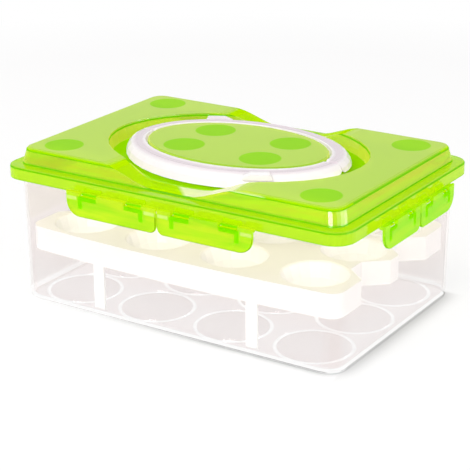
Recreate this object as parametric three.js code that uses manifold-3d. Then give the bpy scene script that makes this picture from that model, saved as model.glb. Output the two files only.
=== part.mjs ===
// Double-deck egg box: clear base with a floor of cup rings, white egg tray on four legs,
// green lid with an oval ditch and two finger scoops, two half-oval bails and eight latch flaps.
// Millimetres, Z up, X along the long side, origin on the ground under the middle of the box.

import * as THREE from 'three';
import { mergeVertices } from 'three/addons/utils/BufferGeometryUtils.js';
import Module from 'manifold-3d';

const wasm = await Module();
wasm.setup();

// Base box
const BOX_LENGTH = 248;
const BOX_DEPTH = 164.8;
const RIM_TOP = 92.8;
const BOX_WALL = 1.6;
const FLOOR_THICKNESS = 2;
const BOX_CORNER = 14.4;
const BOX_DRAFT = 1;
const FOOT_EDGE = 1.2;
const RIM_FLARE = 3.2;
const RIM_BAND = 6.4;
const FLARE_RISE = 3.4;
const RIM_EDGE = 0.5;

// Egg places
const COLUMNS = 4;
const ROWS = 3;
const RING_MARGIN = 0.6;
const RING_RIB_WIDTH = 1.8;
const RING_RIB_HEIGHT = 1.6;

// Egg tray
const TRAY_TOP = 50.5;
const TRAY_SIDE_GAP = 0.4;
const TRAY_END_GAP = 2.2;
const TRAY_WALL = 1.6;
const TRAY_CORNER = 9;
const TRAY_BOW = 4;
const APRON_HEIGHT = 16.5;
const CUP_MARGIN = 3.7;
const CUP_DEPTH = 16;
const CUP_HOLE_RADIUS = 9;
const CUP_LIP = 1.2;
const NOTCH_DEPTH = 14.5;
const NOTCH_SLANT = 12.75;
const NOTCH_LAND = 10.8;
const LEG_WIDTH = 8.3;
const LEG_RIB_DEPTH = 4;
const LEG_SEAT_GAP = 0.3;

// Lid
const LID_WALL = 2;
const SKIRT_GAP = 0.8;
const SKIRT_DROP = 6.2;
const LID_SEAT_GAP = 0.3;
const LID_CORNER = 14;
const FLANGE_EDGE = 1.4;
const PLINTH_HEIGHT = 11.2;
const PLINTH_STEP = 7.1;
const PLINTH_DRAFT = 1.9;
const PLINTH_CORNER = 10;
const PLINTH_EDGE = 3;
const DITCH_MARGIN_X = 28.1;
const DITCH_MARGIN_Y = 8.2;
const DITCH_DEPTH = 10.2;
const DITCH_DRAFT = 2;
const SCOOP_DEPTH = 8.3;
const SCOOP_FLOOR_HALF = 20;
const SCOOP_RAMP = 33;
const SCOOP_MOUTH_DEPTH = 10.5;
const SCOOP_MOUTH_FLOOR_HALF = 12;
const SCOOP_MOUTH_RAMP = 43;

// Bails, lying in the ditch
const BAIL_GAP_X = 12.6;
const BAIL_GAP_Y = 10.3;
const BAIL_WIDTH_X = 12.9;
const BAIL_WIDTH_Y = 14.8;
const BAIL_LIFT = 1.3;
const BAIL_CREST = 0.8;
const BAIL_END_THINNING = 2.6;
const BAIL_SKIN = 2;
const PIVOT_DROP = 2.7;
const PIVOT_SEAM = 0.2;
const PIVOT_PIN_RADIUS = 1.2;
const PIVOT_CLEARANCE = 0.3;
const PIVOT_SOLID_END = 9;
const MEDALLION_GAP_X = 1.5;
const MEDALLION_GAP_Y = 1.6;
const MEDALLION_EDGE = 1;
const MEDALLION_RISE = 0.8;
const TAB_LENGTH = 15.5;
const TAB_RISE = 0.9;
const TAB_ROUNDING = 2.2;
const TAB_THICKNESS = 4.6;

// Latch flaps and their hinges
const LONG_FLAP_WIDTH = 70.2;
const SHORT_FLAP_WIDTH = 48;
const FLAP_PAIR_GAP = 1.2;
const FLAP_THICKNESS = 2;
const FLAP_STAND_OFF = 4.2;
const FLAP_BOTTOM_DROP = 15.2;
const FLAP_TOP_RISE = 1.5;
const FLAP_OUTER_CORNER = 10;
const FLAP_INNER_CORNER = 4.5;
const FLAP_BEVEL = 0.4;
const HINGE_OFFSET = 2.9;
const HINGE_RISE = 1.4;
const BARREL_RADIUS = 1.1;
const HINGE_CLEARANCE = 0.3;
const WINDOW_SLOPE = 1.4;
const CRADLE_THICKNESS = 1;
const CRADLE_ROOT_RISE = 3.4;
const HOOK_HEIGHT = 2.2;
const HOOK_DEPTH = 2.2;
const HOOK_RISE = 4.5;
const FLAP_RIB_WIDTH = 2.4;
const FLAP_RIB_DEPTH = 1.5;
const CATCH_GAP = 0.3;
const CATCH_HEIGHT = 3.4;
const CATCH_TIP = 1.2;

// Cutting tools run past the faces that they cut by this much
const OVERRUN = 2;

// Facet counts
const CORNER_STEPS = 6;
const BOW_STEPS = 6;
const EDGE_STEPS = 3;
const OVAL_STEPS = 40;
const CUP_STEPS = 18;
const RING_STEPS = 20;
const ROUND_STEPS = 8;
const NOSE_STEPS = 16;
const BAIL_STEPS = 21;
const RAMP_STEPS = 6;

// Sizes that follow from the box
const boxHalfX = BOX_LENGTH / 2;
const boxHalfY = BOX_DEPTH / 2;
const innerHalfX = boxHalfX - BOX_WALL;
const innerHalfY = boxHalfY - BOX_WALL;
const rimHalfX = boxHalfX + RIM_FLARE;
const rimHalfY = boxHalfY + RIM_FLARE;
const rimCorner = LID_CORNER - LID_WALL - SKIRT_GAP;
const ringPitchX = 2 * (innerHalfX - BOX_DRAFT) / COLUMNS;
const ringPitchY = 2 * (innerHalfY - BOX_DRAFT) / ROWS;
const ringRadius = Math.min(ringPitchX, ringPitchY) / 2 - RING_MARGIN;

// The tray is narrower at its corners than halfway along its long sides, which bow outward
const trayHalfX = innerHalfX - BOX_DRAFT - TRAY_END_GAP;
const trayHalfY = innerHalfY - BOX_DRAFT - TRAY_SIDE_GAP;
const trayCornerY = trayHalfY - TRAY_BOW;
const cupPitchX = 2 * trayHalfX / COLUMNS;
const cupPitchY = 2 * trayCornerY / ROWS;
const cupRadius = Math.min(cupPitchX, cupPitchY) / 2 - CUP_MARGIN;

// Sizes of the lid that follow from the rim it covers
const lidHalfX = rimHalfX + SKIRT_GAP + LID_WALL;
const lidHalfY = rimHalfY + SKIRT_GAP + LID_WALL;
const skirtBottom = RIM_TOP - SKIRT_DROP;
const flangeTop = RIM_TOP + LID_SEAT_GAP + LID_WALL;
const plateau = flangeTop + PLINTH_HEIGHT;
const footHalfX = lidHalfX - PLINTH_STEP;
const footHalfY = lidHalfY - PLINTH_STEP;
const topHalfX = footHalfX - PLINTH_DRAFT;
const topHalfY = footHalfY - PLINTH_DRAFT;
const ditchHalfX = topHalfX - DITCH_MARGIN_X;
const ditchHalfY = topHalfY - DITCH_MARGIN_Y;
const ditchFloor = plateau - DITCH_DEPTH;
const bailOuterX = ditchHalfX - BAIL_GAP_X;
const bailOuterY = ditchHalfY - BAIL_GAP_Y;
const bailInnerX = bailOuterX - BAIL_WIDTH_X;
const bailInnerY = bailOuterY - BAIL_WIDTH_Y;
const medallionHalfX = bailInnerX - MEDALLION_GAP_X;
const medallionHalfY = bailInnerY - MEDALLION_GAP_Y;
const bailBottom = ditchFloor + BAIL_LIFT;
const bailTop = plateau + BAIL_CREST;
const pivotHeight = plateau - PIVOT_DROP;
const pivotOffset = bailTop - pivotHeight + PIVOT_SEAM / 2;
const noseRadius = pivotOffset - PIVOT_SEAM;

// Corner arcs of a rounded rectangle, counter-clockwise from the +X side
function roundedRectangle(halfX, halfY, radius, z) {
  const corners = [[1, 1], [-1, 1], [-1, -1], [1, -1]];
  const points = [];
  corners.forEach(([sideX, sideY], quarter) => {
    for (let step = 0; step <= CORNER_STEPS; step += 1) {
      const angle = (quarter + step / CORNER_STEPS) * Math.PI / 2;
      const x = sideX * (halfX - radius) + radius * Math.cos(angle);
      const y = sideY * (halfY - radius) + radius * Math.sin(angle);
      points.push(new THREE.Vector3(x, y, z));
    }
  });
  return points;
}

function oval(halfX, halfY, z) {
  const points = [];
  for (let step = 0; step < OVAL_STEPS; step += 1) {
    const angle = 2 * Math.PI * step / OVAL_STEPS;
    points.push(new THREE.Vector3(halfX * Math.cos(angle), halfY * Math.sin(angle), z));
  }
  return points;
}

// A closed skin through a row of loops with as many points each. The cap is the list of
// triangles that closes a loop.
function loft(loops, cap = fan(loops[0].length)) {
  const count = loops[0].length;
  const positions = loops.flat().flatMap((point) => [point.x, point.y, point.z]);
  const faces = [];
  for (let row = 0; row + 1 < loops.length; row += 1) {
    for (let step = 0; step < count; step += 1) {
      const next = (step + 1) % count;
      const low = row * count;
      const high = low + count;
      faces.push(low + step, low + next, high + next);
      faces.push(low + step, high + next, high + step);
    }
  }
  const last = (loops.length - 1) * count;
  cap.forEach(([a, b, c]) => {
    faces.push(a, c, b);
    faces.push(last + a, last + b, last + c);
  });
  const geometry = new THREE.BufferGeometry();
  geometry.setAttribute('position', new THREE.Float32BufferAttribute(positions, 3));
  geometry.setIndex(faces);
  return geometry;
}

// The cap of a loop that bulges everywhere: triangles out of its first point
function fan(count) {
  const triangles = [];
  for (let step = 1; step + 1 < count; step += 1) {
    triangles.push([0, step, step + 1]);
  }
  return triangles;
}

function solidOf(geometry) {
  const bare = geometry.clone();
  bare.deleteAttribute('normal');
  bare.deleteAttribute('uv');
  const merged = mergeVertices(bare);
  const vertProperties = Float32Array.from(merged.attributes.position.array);
  const triVerts = Uint32Array.from(merged.index.array);
  return new wasm.Manifold(new wasm.Mesh({ numProp: 3, vertProperties, triVerts }));
}

function geometryOf(solid) {
  const mesh = solid.getMesh();
  const geometry = new THREE.BufferGeometry();
  geometry.setAttribute('position', new THREE.BufferAttribute(mesh.vertProperties, mesh.numProp));
  geometry.setIndex(new THREE.BufferAttribute(mesh.triVerts, 1));
  return geometry;
}

function joined(solids) {
  return solids.reduce((whole, piece) => whole.add(piece));
}

// A block between two corners
function block(x0, x1, y0, y1, z0, z1) {
  const geometry = new THREE.BoxGeometry(x1 - x0, y1 - y0, z1 - z0);
  geometry.translate((x0 + x1) / 2, (y0 + y1) / 2, (z0 + z1) / 2);
  return solidOf(geometry);
}

// An outline in Y and Z, extruded along X between x0 and x1
function alongX(outline, x0, x1) {
  const shape = new THREE.Shape(outline.map(([y, z]) => new THREE.Vector2(y, z)));
  const geometry = new THREE.ExtrudeGeometry(shape, { depth: x1 - x0, bevelEnabled: false });
  geometry.rotateX(Math.PI / 2);
  geometry.rotateZ(Math.PI / 2);
  geometry.translate(x0, 0, 0);
  return solidOf(geometry);
}

// A round bar along X about the line at (y, z)
function barAlongX(radius, x0, x1, y, z, steps = ROUND_STEPS) {
  const geometry = new THREE.CylinderGeometry(radius, radius, x1 - x0, steps);
  geometry.rotateZ(Math.PI / 2);
  geometry.translate((x0 + x1) / 2, y, z);
  return solidOf(geometry);
}

// A closed profile of [radius, height] pairs turned about a vertical line
function turned(profile, steps, x, y) {
  const points = profile.map(([radius, height]) => new THREE.Vector2(radius, height));
  const geometry = new THREE.LatheGeometry(points, steps);
  geometry.rotateX(Math.PI / 2);
  geometry.translate(x, y, 0);
  return solidOf(geometry);
}

function arcPoints(radius, from, to, steps) {
  const points = [];
  for (let step = 0; step <= steps; step += 1) {
    const angle = THREE.MathUtils.degToRad(from + (to - from) * step / steps);
    points.push([radius * Math.cos(angle), radius * Math.sin(angle)]);
  }
  return points;
}

// Centres of the egg places on a grid
function eggPlaces(pitchX, pitchY) {
  const places = [];
  for (let column = 0; column < COLUMNS; column += 1) {
    for (let row = 0; row < ROWS; row += 1) {
      places.push([(column - (COLUMNS - 1) / 2) * pitchX, (row - (ROWS - 1) / 2) * pitchY]);
    }
  }
  return places;
}

// The four walls, each with its outward turn, the reach of the lid and the box there, and its flaps
const walls = [
  { name: 'front', turn: 0, lidReach: lidHalfY, boxReach: boxHalfY, flapWidth: LONG_FLAP_WIDTH,
    sides: ['left', 'right'] },
  { name: 'right', turn: 1, lidReach: lidHalfX, boxReach: boxHalfX, flapWidth: SHORT_FLAP_WIDTH,
    sides: ['front', 'back'] },
  { name: 'back', turn: 2, lidReach: lidHalfY, boxReach: boxHalfY, flapWidth: LONG_FLAP_WIDTH,
    sides: ['right', 'left'] },
  { name: 'left', turn: 3, lidReach: lidHalfX, boxReach: boxHalfX, flapWidth: SHORT_FLAP_WIDTH,
    sides: ['back', 'front'] },
];

// Flaps are drawn on the front wall, where outward is -Y, and turned to their own wall
const flaps = walls.flatMap((wall) => wall.sides.map((side, index) => {
  const direction = index === 0 ? -1 : 1;
  const centre = direction * (wall.flapWidth + FLAP_PAIR_GAP) / 2;
  return { name: `latch_${wall.name}_${side}`, wall, direction, centre };
}));

function toWall(solid, wall) {
  return solid.rotate([0, 0, 90 * wall.turn]);
}

// Hinge lugs lie between these shares of a flap's half width, on both sides of its middle
const lugShares = [0.31, 0.69];
const hookShare = 0.62;
const catchShare = 0.58;

function lugSpans(flap, growth) {
  const half = flap.wall.flapWidth / 2;
  const [near, far] = lugShares.map((share) => share * half);
  return [[-far - growth, -near + growth], [near - growth, far + growth]]
    .map(([from, to]) => [flap.centre + from, flap.centre + to]);
}

const hingeHeight = skirtBottom + HINGE_RISE;
const flapTop = hingeHeight + FLAP_TOP_RISE;
const flapBottom = hingeHeight - FLAP_BOTTOM_DROP;
const hookBottom = flapBottom + HOOK_RISE;
const hookTop = hookBottom + HOOK_HEIGHT;
const windowBottom = hingeHeight - BARREL_RADIUS - CRADLE_THICKNESS - HINGE_CLEARANCE;

// Base box: one drafted shell, flared to a rim that the lid's skirt covers
function baseShell() {
  const flareTop = RIM_TOP - RIM_BAND;
  const flareBottom = flareTop - FLARE_RISE;
  const footCorner = BOX_CORNER - BOX_DRAFT;
  const ring = (inset, radius, z) => roundedRectangle(boxHalfX - inset, boxHalfY - inset, radius, z);
  const rimRing = (inset, z) => roundedRectangle(rimHalfX - inset, rimHalfY - inset, rimCorner - inset, z);
  return solidOf(loft([
    ring(BOX_DRAFT + FOOT_EDGE, footCorner - FOOT_EDGE, 0),
    ring(BOX_DRAFT, footCorner, FOOT_EDGE),
    ring(0, BOX_CORNER, flareBottom),
    rimRing(0, flareTop),
    rimRing(0, RIM_TOP - RIM_EDGE),
    rimRing(RIM_EDGE, RIM_TOP),
    rimRing(BOX_WALL, RIM_TOP),
    rimRing(BOX_WALL, flareTop),
    ring(BOX_WALL, BOX_CORNER - BOX_WALL, flareBottom),
    ring(BOX_DRAFT + BOX_WALL, footCorner - BOX_WALL, FLOOR_THICKNESS + FOOT_EDGE),
    ring(BOX_DRAFT + BOX_WALL + FOOT_EDGE, footCorner - BOX_WALL - FOOT_EDGE, FLOOR_THICKNESS),
  ]));
}

// One low round rib that keeps an egg of the lower deck in its place
function floorRing([x, y]) {
  const root = FLOOR_THICKNESS / 2;
  return turned([
    [ringRadius - RING_RIB_WIDTH, root],
    [ringRadius, root],
    [ringRadius - RING_RIB_WIDTH / 2, FLOOR_THICKNESS + RING_RIB_HEIGHT],
    [ringRadius - RING_RIB_WIDTH, root],
  ], RING_STEPS, x, y);
}

// The ledge under which a flap's hook comes to rest
function catchLedge(flap) {
  const { wall } = flap;
  const half = catchShare * wall.flapWidth / 2;
  const tip = -(flapInnerFace(wall) - HOOK_DEPTH - CATCH_GAP);
  const root = -(wall.boxReach - BOX_WALL / 2);
  const bottom = hookTop + CATCH_GAP;
  return toWall(alongX([
    [root, bottom],
    [root, bottom + CATCH_HEIGHT],
    [tip + CATCH_TIP, bottom + CATCH_HEIGHT],
    [tip, bottom + CATCH_HEIGHT / 2],
    [tip, bottom],
  ], flap.centre - half, flap.centre + half), wall);
}

function flapInnerFace(wall) {
  return wall.lidReach + FLAP_STAND_OFF;
}

function baseBox() {
  const places = eggPlaces(ringPitchX, ringPitchY);
  return joined([baseShell(), ...places.map(floorRing), ...flaps.map(catchLedge)]);
}

// How far the tray's long side has bowed out over its corners, at this place along it
function trayBow(x) {
  return TRAY_BOW * (1 - (x / (trayHalfX - TRAY_CORNER)) ** 2);
}

// Outline of the tray, with two tapered notches in each short side and a land between them.
// The inset moves every edge into the material by the same distance.
function trayOutline(inset) {
  const halfX = trayHalfX - inset;
  const halfY = trayCornerY - inset;
  const radius = TRAY_CORNER - inset;
  const widening = inset * (Math.hypot(NOTCH_DEPTH, NOTCH_SLANT) - NOTCH_SLANT) / NOTCH_DEPTH;
  const mouthHalf = (cupPitchY - NOTCH_LAND) / 2 + widening;
  const floorHalf = mouthHalf - NOTCH_SLANT;
  const notchHalves = [-mouthHalf, -floorHalf, floorHalf, mouthHalf];
  const notchDepths = [0, NOTCH_DEPTH, NOTCH_DEPTH, 0];
  const corner = (sideX, sideY, quarter) => {
    const arc = arcPoints(radius, 90 * quarter, 90 * (quarter + 1), CORNER_STEPS);
    return arc.map(([x, y]) => [sideX * (halfX - radius) + x, sideY * (halfY - radius) + y]);
  };
  const notches = (side) => [-side, side].flatMap((row) => notchHalves.map((half, index) => [
    side * (halfX - notchDepths[index]),
    row * cupPitchY / 2 + side * half,
  ]));
  const bow = (side) => {
    const points = [];
    for (let step = 1; step < BOW_STEPS; step += 1) {
      const x = (halfX - radius) * (1 - 2 * step / BOW_STEPS);
      points.push([side * x, side * (halfY + trayBow(x))]);
    }
    return points;
  };
  return [
    ...corner(1, 1, 0),
    ...bow(1),
    ...corner(-1, 1, 1),
    ...notches(-1),
    ...corner(-1, -1, 2),
    ...bow(-1),
    ...corner(1, -1, 3),
    ...notches(1),
  ];
}

function upward(outline, z0, z1) {
  const shape = new THREE.Shape(outline.map(([x, y]) => new THREE.Vector2(x, y)));
  const geometry = new THREE.ExtrudeGeometry(shape, { depth: z1 - z0, bevelEnabled: false });
  geometry.translate(0, 0, z0);
  return solidOf(geometry);
}

// The bowl's radius shrinks along a quarter ellipse from its mouth to the hole in its bottom
const bowlDepthShares = [0, 0.6, 1];

function bowlRadius(mouthRadius, depthShare) {
  const holeShare = CUP_HOLE_RADIUS / cupRadius;
  const fullDepth = 1 / Math.sqrt(1 - holeShare ** 2);
  return mouthRadius * Math.sqrt(1 - (depthShare / fullDepth) ** 2);
}

function bowlOutside([x, y]) {
  const mouth = cupRadius + TRAY_WALL;
  const walls = bowlDepthShares.map((share) => [
    bowlRadius(mouth, share),
    TRAY_TOP - TRAY_WALL / 2 - share * (CUP_DEPTH - TRAY_WALL / 2),
  ]);
  const bottom = TRAY_TOP - CUP_DEPTH;
  return turned([[0, bottom], ...walls.reverse(), [0, TRAY_TOP - TRAY_WALL / 2]], CUP_STEPS, x, y);
}

function bowlInside([x, y]) {
  const lip = cupRadius + CUP_LIP;
  const lipBottom = TRAY_TOP - CUP_LIP;
  const walls = bowlDepthShares.map((share) => [
    bowlRadius(cupRadius, share),
    lipBottom - share * (CUP_DEPTH - CUP_LIP),
  ]);
  const bottom = TRAY_TOP - CUP_DEPTH - OVERRUN;
  return turned([
    [0, bottom],
    [CUP_HOLE_RADIUS, bottom],
    ...walls.reverse(),
    [lip, TRAY_TOP],
    [lip, TRAY_TOP + OVERRUN],
    [0, TRAY_TOP + OVERRUN],
  ], CUP_STEPS, x, y);
}

// A leg hangs from the apron between two egg places, with one stiffening rib behind it.
// Its toe is cut back to stand clear of the box's rounded inner foot.
function trayLeg(sideX, sideY) {
  const x = sideX * cupPitchX;
  const reach = trayCornerY + trayBow(cupPitchX + LEG_WIDTH / 2);
  const foot = FLOOR_THICKNESS + LEG_SEAT_GAP;
  const top = TRAY_TOP - TRAY_WALL / 2;
  const profile = (back, front) => [
    [back, foot],
    [front - FOOT_EDGE, foot],
    [front, foot + FOOT_EDGE],
    [front, top],
    [back, top],
  ];
  const plate = alongX(profile(reach - TRAY_WALL, reach), x - LEG_WIDTH / 2, x + LEG_WIDTH / 2);
  const rib = alongX(profile(reach - LEG_RIB_DEPTH, reach), x - TRAY_WALL / 2, x + TRAY_WALL / 2);
  const leg = plate.add(rib);
  return sideY < 0 ? leg.mirror([0, 1, 0]) : leg;
}

function eggTray() {
  const apronBottom = TRAY_TOP - APRON_HEIGHT;
  const shell = upward(trayOutline(0), apronBottom, TRAY_TOP)
    .subtract(upward(trayOutline(TRAY_WALL), apronBottom - OVERRUN, TRAY_TOP - TRAY_WALL));
  const legs = [trayLeg(-1, -1), trayLeg(1, -1), trayLeg(-1, 1), trayLeg(1, 1)];
  const places = eggPlaces(cupPitchX, cupPitchY);
  return joined([shell, ...legs, ...places.map(bowlOutside)])
    .subtract(joined(places.map(bowlInside)));
}

// Height of the scoop's surface over its floor, as a share of its depth, along the ramp
function scoopRise(share) {
  return (1 - Math.cos(Math.PI * share)) / 2;
}

// Outline of a scoop in X and Z: a flat floor between two S-shaped ramps, open upward
function scoopOutline(depth, floorHalf, rampLength, drop) {
  const floor = plateau - depth - drop;
  const ramp = [];
  for (let step = 0; step <= RAMP_STEPS; step += 1) {
    const share = step / RAMP_STEPS;
    ramp.push([floorHalf + share * rampLength, floor + scoopRise(share) * depth]);
  }
  const edge = floorHalf + rampLength;
  return [
    ...ramp,
    [edge, plateau + OVERRUN],
    [-edge, plateau + OVERRUN],
    ...ramp.map(([x, z]) => [-x, z]).reverse(),
  ];
}

// The two scoops fall outward, from the rim of the ditch to their mouths in the plinth's sides
function scoops(drop, innerEnd, outerEnd) {
  const inner = scoopOutline(SCOOP_DEPTH, SCOOP_FLOOR_HALF, SCOOP_RAMP, drop);
  const mouth = scoopOutline(SCOOP_MOUTH_DEPTH, SCOOP_MOUTH_FLOOR_HALF, SCOOP_MOUTH_RAMP, drop);
  const loops = [[mouth, outerEnd], [mouth, topHalfY], [inner, ditchHalfY], [inner, innerEnd]]
    .map(([outline, y]) => outline.map(([x, z]) => new THREE.Vector3(x, y, z)));
  const flat = inner.map(([x, z]) => new THREE.Vector2(x, z));
  const back = solidOf(loft(loops, THREE.ShapeUtils.triangulateShape(flat, [])));
  return back.add(back.rotate([0, 0, 180]));
}

// The oval ditch as a plug, grown by the wall's thickness for the underside
function ditchPlug(growth) {
  const floor = ditchFloor - growth;
  const halfX = ditchHalfX + growth;
  const halfY = ditchHalfY + growth;
  return solidOf(loft([
    oval(halfX - DITCH_DRAFT, halfY - DITCH_DRAFT, floor),
    oval(halfX, halfY, plateau),
    oval(halfX, halfY, plateau + OVERRUN),
  ]));
}

// The medallion inside the ring of the bails, shrunk by the wall's thickness for its hollow
function medallion(shrink, bottom) {
  const halfX = medallionHalfX - shrink;
  const halfY = medallionHalfY - shrink;
  const top = plateau + MEDALLION_RISE - shrink;
  return solidOf(loft([
    oval(halfX, halfY, bottom),
    oval(halfX, halfY, top - MEDALLION_EDGE),
    oval(halfX - MEDALLION_EDGE, halfY - MEDALLION_EDGE, top),
  ]));
}

function lidOutside() {
  const skirt = (inset, z) => roundedRectangle(lidHalfX - inset, lidHalfY - inset, LID_CORNER - inset, z);
  const plinth = (halfX, halfY, inset, z) => roundedRectangle(
    halfX - inset, halfY - inset, PLINTH_CORNER - inset, z);
  const rounding = 1 - Math.SQRT1_2;
  const plinthEdge = arcPoints(PLINTH_EDGE, 0, 90, EDGE_STEPS);
  return solidOf(loft([
    skirt(0, skirtBottom),
    skirt(0, flangeTop - FLANGE_EDGE),
    skirt(FLANGE_EDGE * rounding, flangeTop - FLANGE_EDGE * rounding),
    skirt(FLANGE_EDGE, flangeTop),
    plinth(footHalfX, footHalfY, 0, flangeTop),
    ...plinthEdge.map(([out, up]) => plinth(
      topHalfX, topHalfY, PLINTH_EDGE - out, plateau - PLINTH_EDGE + up)),
  ]));
}

function lidCavity() {
  const skirtInner = (z) => roundedRectangle(
    lidHalfX - LID_WALL, lidHalfY - LID_WALL, LID_CORNER - LID_WALL, z);
  const plinthInner = (halfX, halfY, z) => roundedRectangle(
    halfX - LID_WALL, halfY - LID_WALL, PLINTH_CORNER - LID_WALL, z);
  const cavity = solidOf(loft([
    skirtInner(skirtBottom - OVERRUN),
    skirtInner(flangeTop - LID_WALL),
    plinthInner(footHalfX, footHalfY, flangeTop - LID_WALL),
    plinthInner(topHalfX, topHalfY, plateau - LID_WALL),
  ]));
  return cavity
    .subtract(scoops(LID_WALL, medallionHalfY, lidHalfY))
    .subtract(ditchPlug(LID_WALL))
    .add(medallion(LID_WALL, ditchFloor - LID_WALL - OVERRUN));
}

// Open cradle on the skirt for a flap's hinge bar: it wraps the bar from behind and below.
// Angles are in degrees about the bar, from straight outward and upward.
const cradleAngles = { top: 118, lip: 325, root: 250 };

function hingeCradle(flap) {
  const { wall } = flap;
  const inner = BARREL_RADIUS + HINGE_CLEARANCE;
  const outer = inner + CRADLE_THICKNESS;
  const root = wall.lidReach - LID_WALL / 2;
  const axis = wall.lidReach + HINGE_OFFSET;
  const seat = arcPoints(inner, cradleAngles.top, cradleAngles.lip, ROUND_STEPS)
    .map(([out, up]) => [-(axis + out), hingeHeight + up]);
  const back = arcPoints(outer, cradleAngles.lip, cradleAngles.root, ROUND_STEPS / 2)
    .map(([out, up]) => [-(axis + out), hingeHeight + up]);
  const outline = [
    ...seat,
    ...back,
    [-root, skirtBottom],
    [-root, hingeHeight + CRADLE_ROOT_RISE],
    [-wall.lidReach, hingeHeight + CRADLE_ROOT_RISE],
  ].reverse();
  const lugs = lugSpans(flap, 0).map(([from, to]) => alongX(outline, from, to));
  return toWall(joined(lugs), wall);
}

// Bores in the medallion's wall for the four pivot pins of the bails
function pivotBores() {
  const radius = PIVOT_PIN_RADIUS + PIVOT_CLEARANCE;
  return joined([-pivotOffset, pivotOffset].flatMap((y) => [-1, 1].map((side) => {
    const ends = [side * (medallionHalfX - 2 * LID_WALL), side * (medallionHalfX + OVERRUN)];
    ends.sort((a, b) => a - b);
    return barAlongX(radius, ...ends, y, pivotHeight);
  })));
}

function lid() {
  const shell = lidOutside()
    .subtract(scoops(0, medallionHalfY + LID_WALL, lidHalfY))
    .subtract(ditchPlug(0))
    .add(medallion(0, ditchFloor - LID_WALL / 2))
    .subtract(lidCavity())
    .subtract(pivotBores());
  return joined([shell, ...flaps.map(hingeCradle)]);
}

// Section of a bail: [share of its width from the inner edge, share of its height].
// A thin inner rim, a shallow channel, then a full outer shoulder that falls to the outer edge.
const bailSectionShares = [
  [0, 0], [0, 0.95], [0.07, 1], [0.2, 0.91], [0.38, 0.9], [0.52, 0.96],
  [0.74, 0.82], [0.92, 0.46], [1, 0],
];
const bailHollowShares = [[0, 0], [0, 0.9], [0.52, 0.9], [0.9, 0.5], [1, 0]];

// A loop of section points swept round the half oval from one angle to the other. The section
// grows shallower from below toward the two ends of the bail.
function bailSweep(section, from, to) {
  const loops = [];
  for (let step = 0; step <= BAIL_STEPS; step += 1) {
    const angle = from + (to - from) * step / BAIL_STEPS;
    const thinning = Math.abs(Math.cos(angle)) ** 3 * BAIL_END_THINNING / (bailTop - bailBottom);
    loops.push(section.map(([share, z]) => new THREE.Vector3(
      (bailInnerX + share * BAIL_WIDTH_X) * Math.cos(angle),
      (bailInnerY + share * BAIL_WIDTH_Y) * Math.sin(angle),
      z + (bailTop - z) * thinning,
    )));
  }
  const flat = section.map(([share, z]) => new THREE.Vector2(share * BAIL_WIDTH_X, z));
  const cap = THREE.ShapeUtils.triangulateShape(flat, []).map(([a, b, c]) => [a, c, b]);
  return solidOf(loft(loops, cap));
}

// The back bail. Its ends beyond the pivot line are round noses, so that it can stand up
// beside its lying twin.
function bail() {
  const height = bailTop - bailBottom;
  const outerSection = bailSectionShares.map(([share, rise]) => [share, bailBottom + rise * height]);
  const skinShare = BAIL_SKIN / BAIL_WIDTH_Y;
  const hollowSection = bailHollowShares.map(([share, rise]) => [
    skinShare + share * (1 - 2 * skinShare),
    rise === 0 ? bailBottom - OVERRUN : bailBottom + rise * height - BAIL_SKIN,
  ]);
  const seamAngle = Math.asin(PIVOT_SEAM / bailOuterY);
  const hollowAngle = Math.asin(PIVOT_SOLID_END / bailOuterY);
  const whole = bailSweep(outerSection, seamAngle, Math.PI - seamAngle);
  const hollow = bailSweep(hollowSection, hollowAngle, Math.PI - hollowAngle);
  const reach = bailOuterX + OVERRUN;
  const overhang = block(-reach, reach, -OVERRUN, pivotOffset, bailBottom - OVERRUN, bailTop + OVERRUN);
  const arm = whole.subtract(overhang);
  const nose = whole.intersect(barAlongX(noseRadius, -reach, reach, pivotOffset, pivotHeight, NOSE_STEPS));
  const pinTip = medallionHalfX - LID_WALL / 2;
  const pinRoot = bailInnerX + BAIL_SKIN;
  const pins = barAlongX(PIVOT_PIN_RADIUS, -pinRoot, -pinTip, pivotOffset, pivotHeight)
    .add(barAlongX(PIVOT_PIN_RADIUS, pinTip, pinRoot, pivotOffset, pivotHeight));
  return joined([arm, nose, fingerTab()]).subtract(hollow).add(pins);
}

// A low pad on the outer shoulder, to lift the bail with a finger. Its place is a share of the
// bail's half length, and its edges are shares of the bail's width.
const tabShares = { place: 0.575, inner: 0.66, middle: 0.84, outer: 0.99 };

function fingerTab() {
  const half = TAB_LENGTH / 2;
  const reach = bailInnerX + BAIL_WIDTH_X / 2;
  const angles = [half, -half].map((offset) => Math.acos(offset / reach - tabShares.place));
  const crown = bailTop + TAB_RISE;
  const foot = crown - TAB_THICKNESS;
  const point = (angle, share, z) => new THREE.Vector3(
    (bailInnerX + share * BAIL_WIDTH_X) * Math.cos(angle),
    (bailInnerY + share * BAIL_WIDTH_Y) * Math.sin(angle),
    z,
  );
  const ringAt = (angle, top) => [
    point(angle, tabShares.inner, foot),
    point(angle, tabShares.inner, top),
    point(angle, tabShares.middle, top),
    point(angle, tabShares.outer, top - TAB_ROUNDING / 2),
    point(angle, tabShares.outer, foot),
  ];
  const shoulder = crown - TAB_ROUNDING;
  const rowShares = [[0, 0], [0.28, 1], [0.6, 1], [0.92, 1], [1, 0]];
  const loops = rowShares.map(([along, up]) => ringAt(
    THREE.MathUtils.lerp(angles[0], angles[1], along),
    THREE.MathUtils.lerp(shoulder, crown, up),
  ));
  return solidOf(loft(loops));
}

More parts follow.
